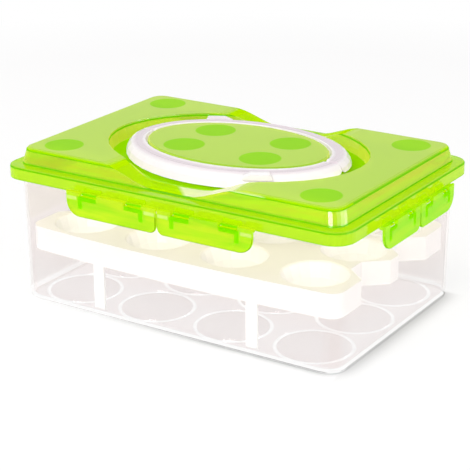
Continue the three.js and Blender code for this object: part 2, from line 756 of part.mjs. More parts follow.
// One latch flap on the front wall: plate, hinge band with two bars, hook and two ribs
function latchFlap(flap) {
  const { wall, direction, centre } = flap;
  const half = wall.flapWidth / 2;
  const inner = flapInnerFace(wall);
  const outer = inner + FLAP_THICKNESS;
  const axis = wall.lidReach + HINGE_OFFSET;
  const shape = new THREE.Shape();
  shape.moveTo(-half, flapTop);
  shape.lineTo(-half, flapBottom + FLAP_INNER_CORNER);
  shape.absarc(-half + FLAP_INNER_CORNER, flapBottom + FLAP_INNER_CORNER, FLAP_INNER_CORNER,
    Math.PI, 1.5 * Math.PI);
  shape.absarc(half - FLAP_OUTER_CORNER, flapBottom + FLAP_OUTER_CORNER, FLAP_OUTER_CORNER,
    1.5 * Math.PI, 2 * Math.PI);
  shape.lineTo(half, flapTop);
  const plate = new THREE.ExtrudeGeometry(shape, {
    depth: FLAP_THICKNESS - 2 * FLAP_BEVEL,
    bevelThickness: FLAP_BEVEL,
    bevelSize: FLAP_BEVEL,
    bevelOffset: -FLAP_BEVEL,
    bevelSegments: 1,
    curveSegments: CORNER_STEPS / 2,
  });
  plate.rotateX(Math.PI / 2);
  plate.translate(0, -inner - FLAP_BEVEL, 0);
  let body = solidOf(plate);
  if (direction < 0) body = body.mirror([1, 0, 0]);
  body = body.translate([centre, 0, 0]);
  const bandHalf = half - FLAP_BEVEL;
  const barrel = arcPoints(BARREL_RADIUS, 90, 270, ROUND_STEPS / 2);
  const band = alongX([
    ...barrel.map(([out, up]) => [-(axis + out), hingeHeight + up]),
    [-(inner + FLAP_THICKNESS / 2), hingeHeight - BARREL_RADIUS],
    [-(inner + FLAP_THICKNESS / 2), hingeHeight + BARREL_RADIUS],
  ].reverse(), centre - bandHalf, centre + bandHalf);
  const windowOutline = [
    [-axis + 2 * BARREL_RADIUS, windowBottom],
    [-axis + 2 * BARREL_RADIUS, flapTop + OVERRUN],
    [-outer - OVERRUN, flapTop + OVERRUN],
    [-outer - OVERRUN, windowBottom + WINDOW_SLOPE],
    [-outer, windowBottom + WINDOW_SLOPE],
    [-inner, windowBottom],
  ].reverse();
  const windows = lugSpans(flap, HINGE_CLEARANCE).map(([from, to]) => alongX(windowOutline, from, to));
  const bars = lugSpans(flap, 2 * HINGE_CLEARANCE).map(([from, to]) => barAlongX(
    BARREL_RADIUS, from, to, -axis, hingeHeight));
  const hookHalf = hookShare * half;
  const hook = block(centre - hookHalf, centre + hookHalf,
    -inner - FLAP_THICKNESS / 2, -inner + HOOK_DEPTH, hookBottom, hookTop);
  const ribs = [-1, 1].map((side) => {
    const middle = centre + side * lugShares[1] * half;
    return block(middle - FLAP_RIB_WIDTH / 2, middle + FLAP_RIB_WIDTH / 2,
      -inner - FLAP_THICKNESS / 2, -inner + FLAP_RIB_DEPTH, hookBottom, windowBottom - HINGE_CLEARANCE);
  });
  return toWall(joined([body.add(band).subtract(joined(windows)), ...bars, hook, ...ribs]), wall);
}

// Finishes
const clearPlastic = new THREE.MeshStandardMaterial({
  color: 0xece4e4, roughness: 0.12, metalness: 0, transparent: true, opacity: 0.35,
});
const greenPlastic = new THREE.MeshStandardMaterial({
  color: 0x9be024, roughness: 0.15, metalness: 0, transparent: true, opacity: 0.8,
});
const whitePlastic = new THREE.MeshStandardMaterial({ color: 0xf6f4f0, roughness: 0.4, metalness: 0 });

function named(name, solid, material) {
  const mesh = new THREE.Mesh(geometryOf(solid), material);
  mesh.name = name;
  return mesh;
}

const eggBox = new THREE.Group();
eggBox.add(named('base_box', baseBox(), clearPlastic));
eggBox.add(named('egg_tray', eggTray(), whitePlastic));
eggBox.add(named('lid', lid(), greenPlastic));
eggBox.add(named('handle_back', bail(), whitePlastic));
eggBox.add(named('handle_front', bail().rotate([0, 0, 180]), whitePlastic));
flaps.forEach((flap) => eggBox.add(named(flap.name, latchFlap(flap), greenPlastic)));

export default eggBox;
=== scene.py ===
import math

import bmesh
import bpy
from mathutils import Matrix, Vector


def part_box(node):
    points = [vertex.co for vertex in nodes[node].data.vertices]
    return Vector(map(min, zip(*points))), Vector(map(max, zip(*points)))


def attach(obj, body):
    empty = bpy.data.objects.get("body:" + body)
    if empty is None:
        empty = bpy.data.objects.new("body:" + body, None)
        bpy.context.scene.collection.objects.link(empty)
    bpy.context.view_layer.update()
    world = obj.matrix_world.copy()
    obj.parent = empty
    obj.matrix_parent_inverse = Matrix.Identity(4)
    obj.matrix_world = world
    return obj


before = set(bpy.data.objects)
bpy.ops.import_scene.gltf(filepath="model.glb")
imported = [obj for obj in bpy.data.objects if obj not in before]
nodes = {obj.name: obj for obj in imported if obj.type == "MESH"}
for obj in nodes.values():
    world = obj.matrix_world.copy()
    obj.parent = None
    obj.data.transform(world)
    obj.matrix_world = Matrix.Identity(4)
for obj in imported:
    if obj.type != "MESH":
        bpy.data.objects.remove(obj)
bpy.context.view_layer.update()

scene = bpy.context.scene

# Base box: a deep open shell with a flared rim, and a floor with twelve low rings for eggs.
# It is injection moulded in one piece from clear polypropylene, which is faintly milky and
# warm grey where several walls lie behind one another. The catches are part of its rim.
WHITE = (1.0, 1.0, 1.0, 1.0)
SHARP_EDGE = math.radians(32)
PLASTIC_INDEX = 1.45
FACING_BLEND = 0.5
GLOW_SHARE = 0.4
GRAZING = 1.08

# Stretches that take a tint or a gloss of their own, as their lowest and highest measure and
# the width of their soft ends. NO_END is beyond every place of the box, in metres, and beyond
# every number of a normal.
NO_END = 2.0
ACROSS_INSIDE = (-0.1212, 0.1212, 0.0002)
ALONG_INSIDE = (-0.0797, 0.0797, 0.0002)
BACK_WALL = (0.0790, NO_END, 0.0004)
LEFT_WALL = (-NO_END, -0.1205, 0.0004)
PLATE = (-0.001, 0.0021, 0.0001)
PLATE_TOP = (0.0019, 0.0021, 0.0001)
RING_RISE = (0.0021, 0.0037, 0.0002)
FOOT = (-0.001, 0.0010, 0.0004)
FOOT_ACROSS = (-0.050, NO_END, 0.150)
HEEL = (0.0012, 0.0048, 0.0006)
LOW_WALL = (0.0, 0.030, 0.020)
BELOW_TRAY = (0.006, 0.052, 0.004)
ABOVE_TRAY = (0.052, NO_END, 0.006)
EGG_PITCH = (0.0607, 0.0532)
EGG_PLACE = (-NO_END, 0.0251, 0.001)
RIDGE = (0.0238, 0.0264, 0.0005)

MILK = (0.96, 0.93, 0.92, 1.0)
FOOT_SHADOW_GREY = (0.30, 0.30, 0.31, 1.0)
WALL_TINT = (0.990, 0.971, 0.967, 1.0)
PLATE_TINT = (0.925, 0.888, 0.885, 1.0)
EGG_PLACE_TINT = (0.875, 0.832, 0.828, 1.0)
LOW_WALL_TINT = (1.0, 0.995, 0.995, 1.0)
FAR_HIGH_SHADE_TINT = (0.925, 0.905, 0.88, 1.0)
FAR_LOW_SHADE_TINT = (0.94, 0.92, 0.915, 1.0)
BASE_PASSING = (0.99, 0.985, 0.98, 1.0)
WALL_MILK = 0.045
PLATE_LESS_MILK = 0.025
FOOT_SHADOW_MILK = 0.60
PLATE_DULL = 0.85
RING_DULL = 0.7
BASE_ROUGHNESS = 0.08


def put(tree, kind, settings=None, **values):
    """A node of this kind. Its inputs take plain values, other nodes or fields. An underscore
    and a number name an input by its place."""
    node = tree.nodes.new("ShaderNode" + kind)
    for name, value in (settings or {}).items():
        setattr(node, name, value)
    for name, value in values.items():
        by_place = name[0] == "_" and name[1:].isdigit()
        socket = node.inputs[int(name[1:]) if by_place else name.replace("_", " ")]
        if isinstance(value, Field):
            tree.links.new(value.socket, socket)
        elif isinstance(value, bpy.types.Node):
            tree.links.new(value.outputs[0], socket)
        else:
            socket.default_value = value
    return node


class Field:
    """A number, place or colour that varies over a surface: one socket of a node tree.
    Arithmetic on numbers adds the Math nodes that work it out."""

    def __init__(self, tree, socket):
        self.tree = tree
        self.socket = socket

    def __add__(self, other):
        return maths(self.tree, "ADD", self, other)

    def __sub__(self, other):
        return maths(self.tree, "SUBTRACT", self, other)

    def __rsub__(self, other):
        return maths(self.tree, "SUBTRACT", other, self)

    def __mul__(self, other):
        return maths(self.tree, "MULTIPLY", self, other)

    def __truediv__(self, other):
        return maths(self.tree, "DIVIDE", self, other)

    def __rtruediv__(self, other):
        return maths(self.tree, "DIVIDE", other, self)

    def __pow__(self, other):
        return maths(self.tree, "POWER", self, other)

    def __abs__(self):
        return maths(self.tree, "ABSOLUTE", self)

    def clamped(self):
        """The same number, held between 0 and 1."""
        self.socket.node.use_clamp = True
        return self


def maths(tree, operation, a, b=0.0):
    return Field(tree, put(tree, "Math", {"operation": operation}, _0=a, _1=b).outputs[0])


def larger(a, b):
    return maths(a.tree, "MAXIMUM", a, b)


def distance(x, y):
    return maths(x.tree, "SQRT", x * x + y * y)


def out_of(tree, kind, output=0, **values):
    """One output of a new node."""
    return Field(tree, put(tree, kind, **values).outputs[output])


def grouped(tree, group, **values):
    """What a node group gives for these inputs."""
    return Field(tree, put(tree, "Group", {"node_tree": group}, **values).outputs[0])


def three_numbers(tree, vector):
    parts = put(tree, "SeparateXYZ", Vector=vector).outputs
    return [Field(tree, part) for part in parts]


def places(tree):
    """Where a point of the piece lies, in metres at rest: across, along and up."""
    return three_numbers(tree, out_of(tree, "TexCoord", "Object"))


def normals(tree):
    """The flat face's own normal: across, along and up."""
    return three_numbers(tree, out_of(tree, "NewGeometry", "True Normal"))


def layered(tree, ground, layers):
    """A colour with others laid over it in turn, each where its mask is 1."""
    colour = ground
    for mask, paint in layers:
        mix = put(tree, "Mix", {"data_type": "RGBA"}, _0=mask, _6=colour, _7=paint)
        colour = Field(tree, mix.outputs[2])
    return colour


def group_of(name, inputs, output, kind="NodeSocketFloat"):
    """A node group with one number output, and its inputs as fields."""
    tree = bpy.data.node_groups.new(name, "ShaderNodeTree")
    for label in inputs:
        tree.interface.new_socket(label, in_out="INPUT", socket_type=kind)
    tree.interface.new_socket(output, in_out="OUTPUT", socket_type="NodeSocketFloat")
    given = tree.nodes.new("NodeGroupInput").outputs
    return tree, [Field(tree, given[label]) for label in inputs]


def gives(tree, result):
    tree.links.new(result.socket, tree.nodes.new("NodeGroupOutput").inputs[0])


def new_material(name):
    """A material and its emptied node tree."""
    material = bpy.data.materials.new(name)
    material.use_nodes = True
    material.node_tree.nodes.clear()
    return material, material.node_tree


def shows(tree, shader):
    tree.links.new(shader.outputs[0], tree.nodes.new("ShaderNodeOutputMaterial").inputs[0])


def wear(name, material):
    """The moulding takes this finish. Its rounded edges are shaded smooth, and sharper edges
    stay crisp."""
    mesh = nodes[name].data
    mesh.polygons.foreach_set("use_smooth", [True] * len(mesh.polygons))
    mesh.set_sharp_from_angle(angle=SHARP_EDGE)
    mesh.materials.clear()
    mesh.materials.append(material)


# How much of the light a face holds back as cloud: more where the eye looks along the wall
clouding, (facing, share) = group_of("clouding", ["Facing", "Share"], "Haze")
gives(clouding, 1.0 - (1.0 - share) ** (1.0 / (GRAZING - facing)))

# 1 where a value lies between two bounds, with soft ends
band, (value, low, high, soft) = group_of("band", ["Value", "Low", "High", "Soft"], "Mask")
risen = ((value - low) / soft + 0.5).clamped()
fallen = ((value - high) / soft + 0.5).clamped()
gives(band, (risen - fallen).clamped())


def within(value, stretch):
    """1 where the value lies in the stretch, and 0 elsewhere."""
    low, high, soft = stretch
    return grouped(value.tree, band, Value=value, Low=low, High=high, Soft=soft)


def see_through(tree, share, cloud, tint, passing, shine, roughness):
    """A clear moulding: each face mirrors, holds back some light as cloud, and lets the rest
    through. Light on its way to other pieces passes more freely than the eye sees."""
    front = 1.0 - out_of(tree, "NewGeometry", "Backfacing")
    mirror = (out_of(tree, "Fresnel", IOR=PLASTIC_INDEX) * front * shine).clamped()
    hidden = out_of(tree, "LightPath", "Is Shadow Ray") + out_of(tree, "LightPath", "Is Diffuse Ray")
    facing = out_of(tree, "LayerWeight", "Facing", Blend=FACING_BLEND)
    haze = grouped(tree, clouding, Facing=facing, Share=share)
    shade = put(tree, "BsdfDiffuse", Color=cloud)
    glow = put(tree, "BsdfTranslucent", Color=cloud)
    cloudy = put(tree, "MixShader", _0=GLOW_SHARE, _1=shade, _2=glow)
    through = put(tree, "BsdfTransparent", Color=tint)
    body = put(tree, "MixShader", _0=haze, _1=through, _2=cloudy)
    gloss = put(tree, "BsdfAnisotropic", Color=WHITE, Roughness=roughness)
    skin = put(tree, "MixShader", _0=mirror, _1=body, _2=gloss)
    passed = put(tree, "BsdfTransparent", Color=passing)
    shows(tree, put(tree, "MixShader", _0=hidden.clamped(), _1=skin, _2=passed))


clear_plastic, tree = new_material("clear plastic")
x, y, z = places(tree)
inside = within(x, ACROSS_INSIDE) * within(y, ALONG_INSIDE)
outside = 1.0 - inside
far = larger(within(y, BACK_WALL), within(x, LEFT_WALL))
near = outside * (1.0 - far)
plate = within(z, PLATE) * inside
plate_top = within(z, PLATE_TOP) * inside
ring = within(z, RING_RISE) * inside
# The foot of the near and right walls takes a thin grey band, a painted contact shadow that fades out
# towards the left
foot = within(z, FOOT) * near * within(x, FOOT_ACROSS)
# The heel just above the foot and the floor's ring ribs are left untinted and unclouded, so they show as
# pale bands: painted light
heel = within(z, HEEL) * outside
clearest = larger(heel, ring)
milk = (1.0 - clearest) * WALL_MILK - plate * PLATE_LESS_MILK
milk = milk.clamped() + foot * FOOT_SHADOW_MILK
shine = 1.0 - (plate * PLATE_DULL + ring * RING_DULL)
cloud = layered(tree, MILK, [(foot, FOOT_SHADOW_GREY)])

# From each point of the floor to the middle of its egg place
cell_x = maths(tree, "FRACT", x / EGG_PITCH[0])
cell_y = maths(tree, "FRACT", y / EGG_PITCH[1] + 0.5)
from_middle = distance((cell_x - 0.5) * EGG_PITCH[0], (cell_y - 0.5) * EGG_PITCH[1])
# Each egg place is tinted a little darker; the ridge round it is left untinted as a painted pale line
egg_rings = [(within(from_middle, EGG_PLACE), EGG_PLACE_TINT), (within(from_middle, RIDGE), WHITE)]
tint = layered(tree, WALL_TINT, [
    (larger(clearest, plate), WHITE),
    (plate_top, layered(tree, PLATE_TINT, egg_rings)),
    (near * within(z, LOW_WALL), LOW_WALL_TINT),
    # The back and left walls are tinted darker: painted shade, of the lid above the tray and of the tray
    # below it
    (far * within(z, ABOVE_TRAY), FAR_HIGH_SHADE_TINT),
    (far * within(z, BELOW_TRAY), FAR_LOW_SHADE_TINT),
])
see_through(tree, milk, cloud, tint, BASE_PASSING, shine, BASE_ROUGHNESS)
wear("base_box", clear_plastic)

# Egg tray: a plate with twelve open cups, an apron all round, and four legs that stand on the
# box's floor. It is moulded in one piece from white polypropylene with a satin finish, thin
# enough for some light to glow through.
TRAY_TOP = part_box("egg_tray")[1][2]
TOP_FACE = (TRAY_TOP - 0.0008, NO_END, 0.0006)
LEGS = (-NO_END, 0.033, 0.012)
LOOKING_UP = (0.15, NO_END, 0.2)
APRON_WHITE = (0.93, 0.925, 0.925, 1.0)
UPWARD_LIT_WHITE = (1.0, 1.0, 0.97, 1.0)
TOP_LID_LIGHT_CREAM = (0.96, 0.94, 0.83, 1.0)
TRAY_GLOW = (1.0, 0.99, 0.95, 1.0)
TRAY_PASSING = (0.55, 0.55, 0.54, 1.0)
TRAY_GLOW_SHARE = 0.18
TRAY_PASSING_SHARE = 0.8
TRAY_ROUGHNESS = 0.45

white_plastic, tree = new_material("white plastic")
z = places(tree)[2]
facing_up = within(normals(tree)[2], LOOKING_UP)
colour = layered(tree, APRON_WHITE, [
    # The legs, low in the box, are painted whiter than the apron: painted light that makes up for the
    # shade down there
    (within(z, LEGS), WHITE),
    # Faces that look up are painted a brighter white than the apron, as lit from above: painted light
    (facing_up, UPWARD_LIT_WHITE),
    # The top face is painted cream, as light that comes through the green lid: painted light
    (facing_up * within(z, TOP_FACE), TOP_LID_LIGHT_CREAM),
])
paint = put(tree, "BsdfPrincipled", Base_Color=colour, Roughness=TRAY_ROUGHNESS)
glow = put(tree, "BsdfTranslucent", Color=TRAY_GLOW)
body = put(tree, "MixShader", _0=TRAY_GLOW_SHARE, _1=paint, _2=glow)
passed = put(tree, "BsdfTransparent", Color=TRAY_PASSING)
in_shadow = out_of(tree, "LightPath", "Is Shadow Ray") * TRAY_PASSING_SHARE
shows(tree, put(tree, "MixShader", _0=in_shadow, _1=body, _2=passed))
wear("egg_tray", white_plastic)

# Lid: a flange and a plinth with an oval ditch, two finger scoops and a medallion, moulded in
# one piece from see-through lime green plastic. Its flat tops are finely frosted, and round
# dots on the corners and the medallion are a deeper green, with less shine than the rest.
PLATEAU = 0.1063
FLANGE_TOP = 0.0951
SKIRT_BOTTOM = 0.0866
DITCH_HALF = (0.0929, 0.0712)
PLATEAU_FACE = (PLATEAU - 0.0005, PLATEAU + 0.002, 0.0003)
LEVEL_FACE = (0.9, NO_END, 0.05)
DITCH = (-NO_END, 1.002, 0.004)
BED_FACE = (0.7, NO_END, 0.2)
BED = (-NO_END, 0.0990, 0.001)
BEYOND_ACROSS = (0.1302, NO_END, 0.0002)
BEYOND_ALONG = (0.0886, NO_END, 0.0002)
SKIRT = (-NO_END, FLANGE_TOP - 0.0012, 0.0003)
PLINTH = (FLANGE_TOP + 0.001, PLATEAU - 0.001, 0.001)
CREST = (PLATEAU - 0.0022, PLATEAU - 0.0009, 0.0004)
ROOT = (FLANGE_TOP + 0.0001, FLANGE_TOP + 0.0012, 0.0003)
LIP = (FLANGE_TOP - 0.0014, FLANGE_TOP - 0.0003, 0.0003)
HEM = (SKIRT_BOTTOM - 0.0001, SKIRT_BOTTOM + 0.0006, 0.0003)
SCOOP_ALONG = (0.0600, 0.0793, 0.0002)
SCOOP_FACE = (0.7, NO_END, 0.1)
SCOOP = (0.0953, PLATEAU - 0.0006, 0.0008)
REFLECTION_SPAN = (0.002, 0.0600, 0.004)
REFLECTION_LEAN = 1.2
FRONT_HALF = (-NO_END, 0.0, 0.001)

# A dot's place across and along, and its radius. Each dot is in all four quarters of the lid.
DOTS = [(0.0985, 0.0601, 0.0130), (0.0297, 0.0191, 0.0138)]
DOT_EDGE = 0.0008

LIME = (0.50, 0.81, 0.006, 1.0)
OLIVE = (0.62, 0.62, 0.02, 1.0)
EDGE_SHADE_LIME = (0.16, 0.58, 0.0, 1.0)
DITCH_LIME = (0.72, 0.82, 0.08, 1.0)
BED_LIME = (0.40, 0.84, 0.0, 1.0)
CRADLE_LIME = (0.44, 0.82, 0.0, 1.0)
RAMP_LIME = (0.54, 0.88, 0.0, 1.0)
REFLECTION_PALE = (0.84, 0.90, 0.52, 1.0)
FROST_LIME = (0.51, 0.73, 0.03, 1.0)
DOT_LIME = (0.33, 0.74, 0.0, 1.0)
GREEN_TINT = (0.72, 0.96, 0.04, 1.0)
GREEN_PASSING = (0.998, 0.992, 0.92, 1.0)
STREAK_STRENGTH = 0.8
DITCH_STRENGTH = 0.8
RAMP_STRENGTH = 0.85
HEM_STRENGTH = 0.5
ROOT_LEFT_IN_DITCH = 0.3
LID_CLOUD = 0.40
LID_SHINE = 0.65
LID_ROUGHNESS = 0.06
FROST_ROUGHNESS = 0.30

# Streaks of light inside a moulded wall, stretched along it
STREAK_STRETCH = (1.0, 1.0, 8.0)
STREAK_SCALE = 22.0
STREAK_DETAIL = 2.0
STREAK_GRAIN = 0.6
STREAK_FROM = 0.36
STREAK_TO = 0.64
streaks, (place,) = group_of("streaks", ["Place"], "Mask", "NodeSocketVector")
stretched = put(streaks, "VectorMath", {"operation": "MULTIPLY"}, _0=place, _1=STREAK_STRETCH)
waves = put(streaks, "TexNoise", Vector=stretched, Scale=STREAK_SCALE, Detail=STREAK_DETAIL,
            Roughness=STREAK_GRAIN)
gives(streaks, out_of(streaks, "MapRange", Value=waves, From_Min=STREAK_FROM, From_Max=STREAK_TO))


def streaked(tree):
    return grouped(tree, streaks, Place=out_of(tree, "TexCoord", "Object"))


green_plastic, tree = new_material("green plastic")
x, y, z = places(tree)
up = normals(tree)[2]
across = abs(x)
along = abs(y)
frost = within(z, PLATEAU_FACE) * within(up, LEVEL_FACE)
dots = 0.0
for dot_x, dot_y, radius in DOTS:
    dots = within(distance(across - dot_x, along - dot_y), (-NO_END, radius, DOT_EDGE)) + dots
dots = dots * frost
ditch = within(distance(x / DITCH_HALF[0], y / DITCH_HALF[1]), DITCH)
bed = ditch * within(up, BED_FACE) * within(z, BED)
beyond = larger(within(across, BEYOND_ACROSS), within(along, BEYOND_ALONG))
# Painted shade: dark green lines along the plinth's crest and foot, the flange's lip and the skirt's hem,
# with less of it at the plinth's foot in the ditch
root = within(z, ROOT) * (1.0 - ditch * (1.0 - ROOT_LEFT_IN_DITCH))
shaded_edge_lines = (within(z, CREST) + root + within(z, HEM) * HEM_STRENGTH + within(z, LIP)).clamped()
warm = streaked(tree) * within(z, PLINTH) * STREAK_STRENGTH
scoop = within(along, SCOOP_ALONG) * within(up, SCOOP_FACE) * (1.0 - ditch) * within(z, SCOOP)

# A painted reflection of the white handle lies on the right part of the front scoop, between two slanting
# ends
leaning = x + (y + DITCH_HALF[1]) * REFLECTION_LEAN
handle_reflection = within(leaning, REFLECTION_SPAN) * within(y, FRONT_HALF) * scoop
ramp = scoop - handle_reflection
colour = layered(tree, LIME, [
    (warm, OLIVE),
    (ditch * DITCH_STRENGTH, DITCH_LIME),
    (bed, BED_LIME),
    (shaded_edge_lines, EDGE_SHADE_LIME),
    (beyond, CRADLE_LIME),
    (ramp * RAMP_STRENGTH, RAMP_LIME),
    (handle_reflection, REFLECTION_PALE),
    (frost, FROST_LIME),
    (dots, DOT_LIME),
])

# What each stretch adds to the lid's cloud, and what it takes from its shine
skirt = within(z, SKIRT)
more_cloud = [(frost, 0.10), (handle_reflection, 0.25), (shaded_edge_lines, 0.35), (skirt, 0.22), (beyond, 0.25)]
less_shine = [(dots, 0.45), (ramp, 0.60), (shaded_edge_lines, 0.55), (beyond, 0.60), (bed, 0.45)]
share = LID_CLOUD
for mask, amount in more_cloud:
    share = mask * amount + share
shine = LID_SHINE
for mask, amount in less_shine:
    shine = shine - mask * amount
rough = frost * FROST_ROUGHNESS + LID_ROUGHNESS
see_through(tree, share, colour, GREEN_TINT, GREEN_PASSING, shine.clamped(), rough)
wear("lid", green_plastic)

# Handles: two half-oval bails that together make a ring, lying in the ditch. They are moulded
# from glossy white plastic with a shallow channel on top, and clip onto pins in the medallion.
RING_INNER = (0.0674, 0.0461)
RING_OUTER = (0.0803, 0.0609)
CHANNEL = (0.16, 0.66, 0.16)
CHANNEL_TOP = (0.1040, 0.1200, 0.001)
HANDLE_WHITE = (0.77, 0.74, 0.745, 1.0)
CHANNEL_SHADE_GREY = (0.65, 0.575, 0.61, 1.0)
HANDLE_ROUGHNESS = 0.2

handle_plastic, tree = new_material("handle plastic")
x, y, z = places(tree)
from_inner = distance(x / RING_INNER[0], y / RING_INNER[1])
from_outer = distance(x / RING_OUTER[0], y / RING_OUTER[1])
over_width = (from_inner - 1.0) / (from_inner - from_outer)
# The channel is painted grey-pink, a painted shade in the groove
channel = within(over_width, CHANNEL) * within(z, CHANNEL_TOP)
colour = layered(tree, HANDLE_WHITE, [(channel, CHANNEL_SHADE_GREY)])
shows(tree, put(tree, "BsdfPrincipled", Base_Color=colour, Roughness=HANDLE_ROUGHNESS))
wear("handle_back", handle_plastic)
wear("handle_front", handle_plastic)

# Latches: eight flaps that hang from the lid's skirt, two on each side, with a hook and two
# ribs behind each. They are moulded from the same lime green plastic as the lid, and their
# hinge bars snap into open cradles on the skirt.
LUG_SHARES = (0.31, 0.69)
LUG_EDGE = 0.0010
LUG_UP = (0.0840, 0.0888, 0.0010)
RIB_INWARD = 0.0020
RIB_OUTWARD = 0.0014
RIB_UP = (0.0785, 0.0868, 0.0010)
STRIP_ALONG = (0.0266, 0.0344, 0.0012)
STRIP_UP = (0.0843, 0.0864, 0.0010)
BEVEL_FACE = (0.5, 0.9, 0.05)
BEVEL_UP = (-NO_END, 0.0835, 0.001)
UPPER_FACE = (0.2, NO_END, 0.1)
SHORT_SIDE = (0.1310, NO_END, 0.0005)
FLAP_LIME = (0.40, 0.84, 0.0, 1.0)
FLAP_WARM = (0.64, 0.88, 0.01, 1.0)
BEVEL_SHADE_OLIVE = (0.20, 0.42, 0.0, 1.0)
MARK_GREEN = (0.17, 0.80, 0.0, 1.0)
SHORT_SIDE_SHADE_GREEN = (0.26, 0.84, 0.0, 1.0)
STRIP_HIGHLIGHT_PALE = (0.82, 0.95, 0.36, 1.0)
MARK_STRENGTH = 0.85
SHORT_SIDE_STRENGTH = 0.5
STRIP_STRENGTH = 0.75
FLAP_CLOUD = 0.60
MARK_CLOUD = 0.25
FLAP_SHINE = 0.45
FLAP_ROUGHNESS = 0.06


def from_flap_middle(reach, name, axis):
    """How far a point lies from the middle of its flap, and half the flap's width."""
    low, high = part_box(name)
    return abs(reach - (low[axis] + high[axis]) / 2), (high[axis] - low[axis]) / 2


latch_plastic, tree = new_material("latch plastic")
x, y, z = places(tree)
normal_x, normal_y, normal_z = normals(tree)
widest = larger(larger(abs(normal_x), abs(normal_y)), abs(normal_z))
bevel = within(widest, BEVEL_FACE) * within(z, BEVEL_UP)
short_side = within(abs(x), SHORT_SIDE)
long_flap = from_flap_middle(abs(x), "latch_front_right", 0)
short_flap = from_flap_middle(abs(y), "latch_right_back", 1)

# What is moulded behind a flap shows through it as two marks, each in the shape of an L
marks = []
for offset, half in (long_flap, short_flap):
    rib_at = LUG_SHARES[1] * half
    lug = within(offset, (LUG_SHARES[0] * half, rib_at, LUG_EDGE)) * within(z, LUG_UP)
    rib = within(offset, (rib_at - RIB_INWARD, rib_at + RIB_OUTWARD, LUG_EDGE)) * within(z, RIB_UP)
    marks.append(larger(lug, rib))
mark = marks[0] * (1.0 - short_side) + marks[1] * short_side

# A painted highlight of the hinge bar lies over both ends of each flap on the long sides
highlight_strip = within(long_flap[0], STRIP_ALONG) * within(z, STRIP_UP)
colour = layered(tree, FLAP_LIME, [
    (streaked(tree), FLAP_WARM),
    # The lower bevels are painted dark olive, a painted shade along the flaps' edges
    (bevel, BEVEL_SHADE_OLIVE),
    (mark * MARK_STRENGTH, MARK_GREEN),
    # The flaps on the short sides are painted greener, a painted shade on those sides
    (short_side * SHORT_SIDE_STRENGTH, SHORT_SIDE_SHADE_GREEN),
    (highlight_strip * (STRIP_STRENGTH - short_side).clamped(), STRIP_HIGHLIGHT_PALE),
])
share = mark * MARK_CLOUD + FLAP_CLOUD
dull = larger(larger(mark, bevel), within(normal_z, UPPER_FACE))
shine = (1.0 - dull) * FLAP_SHINE
see_through(tree, share, colour, GREEN_TINT, GREEN_PASSING, shine, FLAP_ROUGHNESS)
latches = [name for name in nodes if name.startswith("latch_")]
for name in latches:
    wear(name, latch_plastic)

# Flap beads: a half-round bead on each flap's inner edge closes the space between the two
# flaps of a pair to a hairline. It is moulded with the flap, in the same lime green plastic.
BEAD_REACH = 0.00045
BEAD_HALF = 0.0006
BEAD_SEAT = 0.00002
BEAD_FROM = 0.0766
BEAD_TO = 0.0862
BEAD_START = 0.02
BEAD_SWELL_POWER = 6
BEAD_STEPS = 10
BEAD_ROUND = 8
FLAP_THICKNESS = 0.0020


def bead_points(name):
    """Half-round rows from the bead's thin foot up to its full width at the top."""
    low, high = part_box(name)
    axis = 0 if name.split("_")[1] in ("front", "back") else 1
    away = 1 - axis
    inward = -1 if low[axis] + high[axis] > 0 else 1
    edge = low[axis] if inward < 0 else high[axis]
    outer = high[away] if low[away] + high[away] > 0 else low[away]
    middle = outer - math.copysign(FLAP_THICKNESS / 2, outer)
    points = []
    for step in range(BEAD_STEPS + 1):
        rise = step / BEAD_STEPS
        swell = math.sqrt(1 - ((1 - BEAD_START) * (1 - rise)) ** BEAD_SWELL_POWER)
        for turn in range(BEAD_ROUND + 1):
            angle = math.pi * turn / BEAD_ROUND
            point = [0.0, 0.0, BEAD_FROM + (BEAD_TO - BEAD_FROM) * rise]
            point[axis] = edge + inward * (BEAD_SEAT + BEAD_REACH * swell * math.sin(angle))
            point[away] = middle + BEAD_HALF * math.cos(angle)
            points.append(point)
    return points


row = BEAD_ROUND + 1
bead_faces = []
for step in range(BEAD_STEPS):
    for turn in range(row):
        here = step * row + turn
        beside = step * row + (turn + 1) % row
        bead_faces.append((here, beside, beside + row, here + row))
bead_faces.append(tuple(reversed(range(row))))
bead_faces.append(tuple(range(BEAD_STEPS * row, (BEAD_STEPS + 1) * row)))

for name in latches:
    mesh = bpy.data.meshes.new(name + "_bead")
    mesh.from_pydata(bead_points(name), [], bead_faces)
    shape = bmesh.new()
    shape.from_mesh(mesh)
    bmesh.ops.recalc_face_normals(shape, faces=shape.faces)
    shape.to_mesh(mesh)
    shape.free()
    mesh.materials.append(latch_plastic)
    bead = bpy.data.objects.new(name + "_bead", mesh)
    scene.collection.objects.link(bead)
    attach(bead, name)

# Studio: a white floor that keeps the soft shadow, a white surround, and soft lamps. The
# surround lights the piece more from the sides than from above.
SKY_COLOUR = (1.0, 0.985, 0.985, 1.0)
SKY_SIDE = 1.0
SKY_TOP = 0.60
FLOOR_HALF = 3.0
FLOOR_DROP = 0.0002
FLOOR_GLOW = 0.70
FLOOR_FADE_FROM = 0.25
FLOOR_FADE_TO = 0.90
FLOOR_PALE = (0.95, 0.95, 0.95, 1.0)
NOOK_SHADOW_GREY = (0.36, 0.37, 0.38, 1.0)
NOOK_STRENGTH = 1.35
NOOK_REACH = 0.006
NOOK_REACH_MORE = 0.009
NOOK_SAMPLES = 8
NOOK_RIGHT = (0.1225, NO_END, 0.002)
NOOK_ALONG = (-NO_END, 0.078, 0.004)
NOOK_ACROSS = (-0.040, NO_END, 0.150)
FOOT_HALF = (0.1219, 0.0803)
FOOT_CORNER = 0.0122
FOOTPRINT = (-NO_END, FOOT_CORNER, 0.0003)


